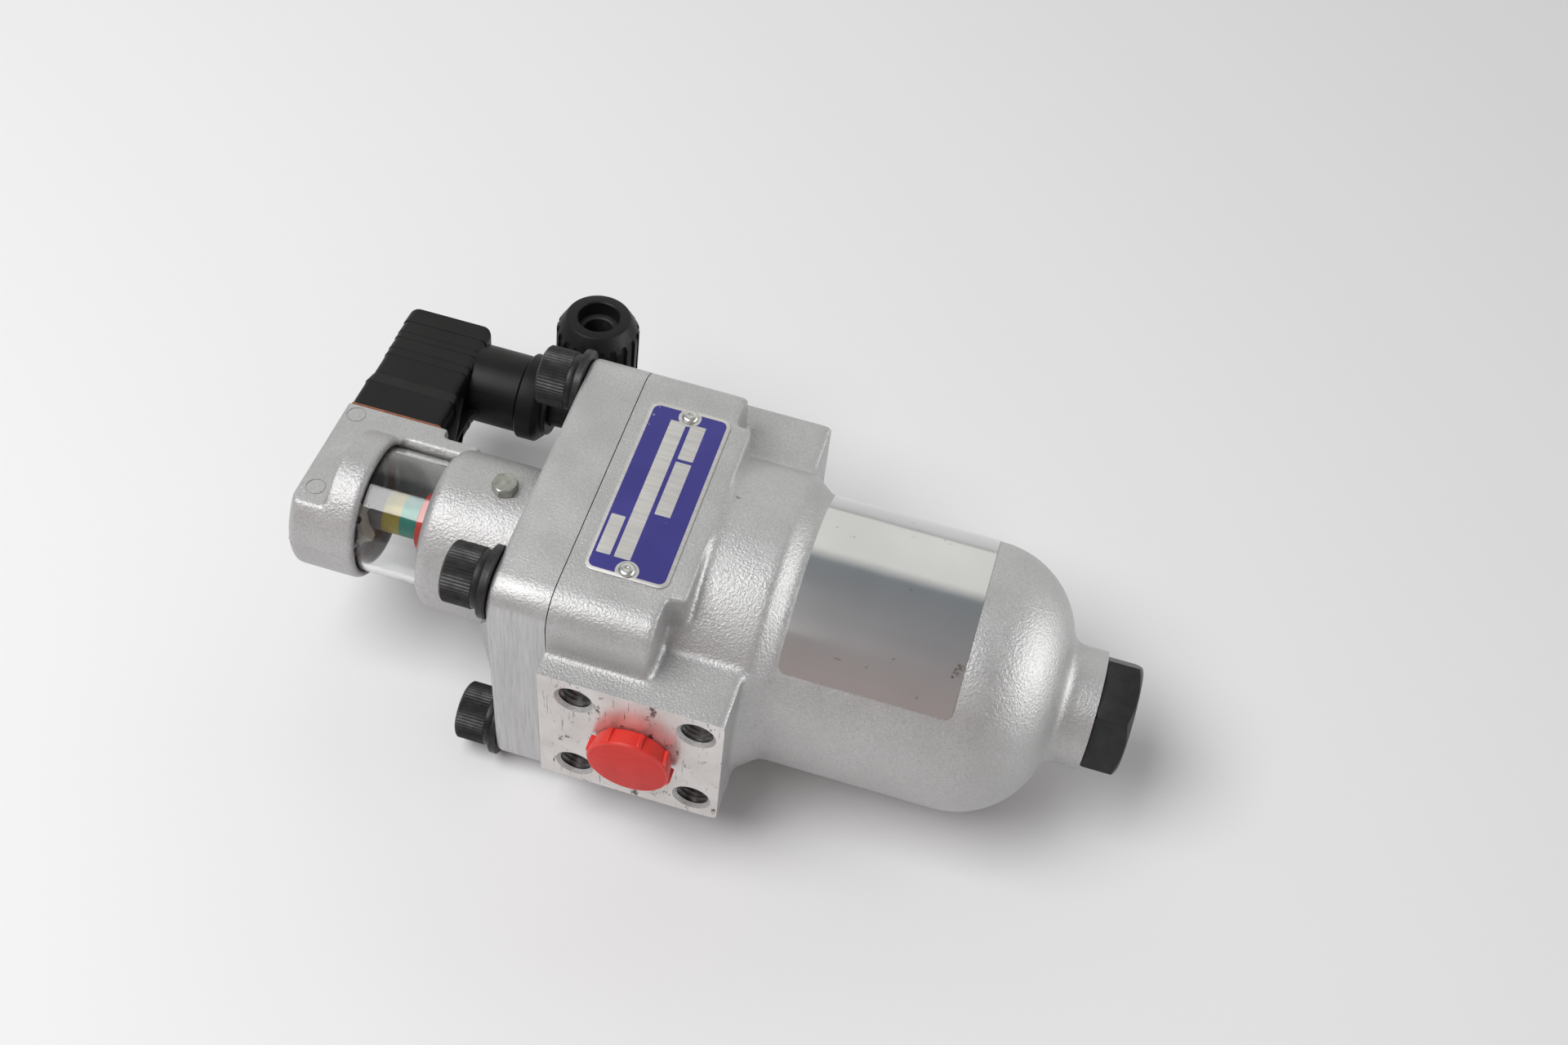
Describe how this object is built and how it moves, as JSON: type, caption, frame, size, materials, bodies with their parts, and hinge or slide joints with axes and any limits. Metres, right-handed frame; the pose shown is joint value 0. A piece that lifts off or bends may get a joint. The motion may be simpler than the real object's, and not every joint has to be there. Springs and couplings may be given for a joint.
{
  "type": "high pressure line filter with differential pressure indicator",
  "caption": "In-line oil filter: cast body with flanged ports, pleated element, bolted cover with clogging indicator, switch connector and angled cable gland",
  "frame": {"origin": "where the port axis crosses the filter axis", "axes": "+X along the filter axis towards the drain plug, +Y along the port axis towards the outlet, +Z out of the nameplate"},
  "size_m": [0.257, 0.1404, 0.0973],
  "materials": {
    "silver_paint": "sprayed silver paint on a casting, orange-peel grain, satin sheen",
    "black_steel": "black oxide steel, lightly oiled",
    "black_rubber": "nitrile rubber, matt",
    "red_plastic": "moulded red polyethylene, soft gloss",
    "printed_plate": "printed blue aluminium plate with bare border",
    "bright_metal": "zinc plated, bright",
    "foil_label": "brushed silver foil, satin",
    "plated_steel": "zinc plated steel",
    "filter_media": "glass fibre paper on mesh",
    "cast_aluminium": "silver painted die casting, rough grain",
    "clear_glass": "clear polished glass tube",
    "brown_seal": "red-brown rubber or fibre",
    "banded_tube": "painted tube with grey, yellow and green bands",
    "brass": "turned brass",
    "black_plastic": "moulded black polyamide, fine matt grain",
    "white_plastic": "off-white moulded plastic"
  },
  "bodies": {
    "filter_body": {"body_casting": "silver_paint", "cover_plate": "silver_paint", "cover_o_ring": "black_rubber", "cover_screw_1": "black_steel", "cover_screw_2": "black_steel", "cover_screw_3": "black_steel", "cover_screw_4": "black_steel", "spring_washer_1": "black_steel", "spring_washer_2": "black_steel", "spring_washer_3": "black_steel", "spring_washer_4": "black_steel", "nameplate": "printed_plate", "nameplate_rivet_1": "bright_metal", "nameplate_rivet_2": "bright_metal", "bowl_label": "foil_label", "element_upper_cap": "plated_steel", "element_o_ring": "black_rubber", "element_media": "filter_media", "element_core_tube": "plated_steel", "element_lower_cap": "plated_steel", "element_spring": "plated_steel", "indicator_core": "plated_steel", "indicator_glass": "clear_glass", "glass_seal_cover_end": "brown_seal", "glass_seal_head_end": "brown_seal", "indicator_tube": "banded_tube", "indicator_spring": "plated_steel"},
    "front_cap": {"front_port_cap": "red_plastic"},
    "rear_cap": {"rear_port_cap": "red_plastic"},
    "drain": {"drain_plug": "black_steel", "drain_plug_o_ring": "black_rubber"},
    "piston": {"indicator_piston": "brass", "indicator_magnet": "plated_steel"},
    "red_ring": {"indicator_ring": "red_plastic"},
    "indicator_head": {"indicator_housing": "cast_aluminium", "housing_screw": "bright_metal", "switch_plate": "black_plastic", "lever_pin": "bright_metal", "switch_body": "brown_seal", "switch_screw": "bright_metal", "contact_base": "black_plastic", "contact_1": "bright_metal", "contact_2": "bright_metal", "contact_3": "bright_metal", "earth_contact": "bright_metal", "connector_gasket": "brown_seal"},
    "lever": {"switch_lever": "white_plastic"},
    "connector": {"connector_housing": "black_plastic", "connector_insert": "black_plastic", "connector_screw": "bright_metal", "gland_ring": "black_plastic"},
    "elbow": {"gland_elbow": "black_plastic", "gland_seal": "black_rubber"},
    "nut": {"dome_nut": "black_plastic"}
  },
  "joints": [
    {"name": "front_cap_pull", "type": "slide", "parent": "filter_body", "child": "front_cap", "axis": [0, -1, 0], "range_m": [0, 0.012]},
    {"name": "rear_cap_pull", "type": "slide", "parent": "filter_body", "child": "rear_cap", "axis": [0, 1, 0], "range_m": [0, 0.012]},
    {"name": "drain_plug_out", "type": "slide", "parent": "filter_body", "child": "drain", "axis": [1, 0, 0], "range_m": [0, 0.018]},
    {"name": "piston_slide", "type": "slide", "parent": "filter_body", "child": "piston", "axis": [-1, 0, 0], "range_m": [0, 0.0114], "stiffness_N_per_m": 100, "deforming": ["indicator_spring"]},
    {"name": "ring_slide", "type": "slide", "parent": "filter_body", "child": "red_ring", "axis": [-1, 0, 0], "range_m": [0, 0.0114]},
    {"name": "indicator_turn", "type": "hinge", "parent": "filter_body", "child": "indicator_head", "pos_m": [-0.06, 0, 0], "axis": [1, 0, 0], "range_deg": [-14, 5.5]},
    {"name": "lever_swing", "type": "hinge", "parent": "indicator_head", "child": "lever", "pos_m": [-0.10245, -0.00874, 0.00838], "axis": [0, 0.9954, -0.0958], "range_deg": [0, 8], "stiffness_Nm_per_rad": 0.01},
    {"name": "connector_pull", "type": "slide", "parent": "indicator_head", "child": "connector", "axis": [0, 0.9954, -0.0958], "range_m": [0, 0.02]},
    {"name": "elbow_swivel", "type": "hinge", "parent": "connector", "child": "elbow", "pos_m": [-0.053, 0.06201, -0.00597], "axis": [1, 0, 0], "range_deg": [-90, 0]},
    {"name": "nut_turn", "type": "hinge", "parent": "elbow", "child": "nut", "pos_m": [-0.053, 0.06489, 0.02389], "axis": [0, 0.0958, 0.9954], "range_deg": [-180, 180]}
  ],
  "couplings": [
    {"joint": "ring_slide", "follows": "piston_slide", "ratio": 1}
  ]
}
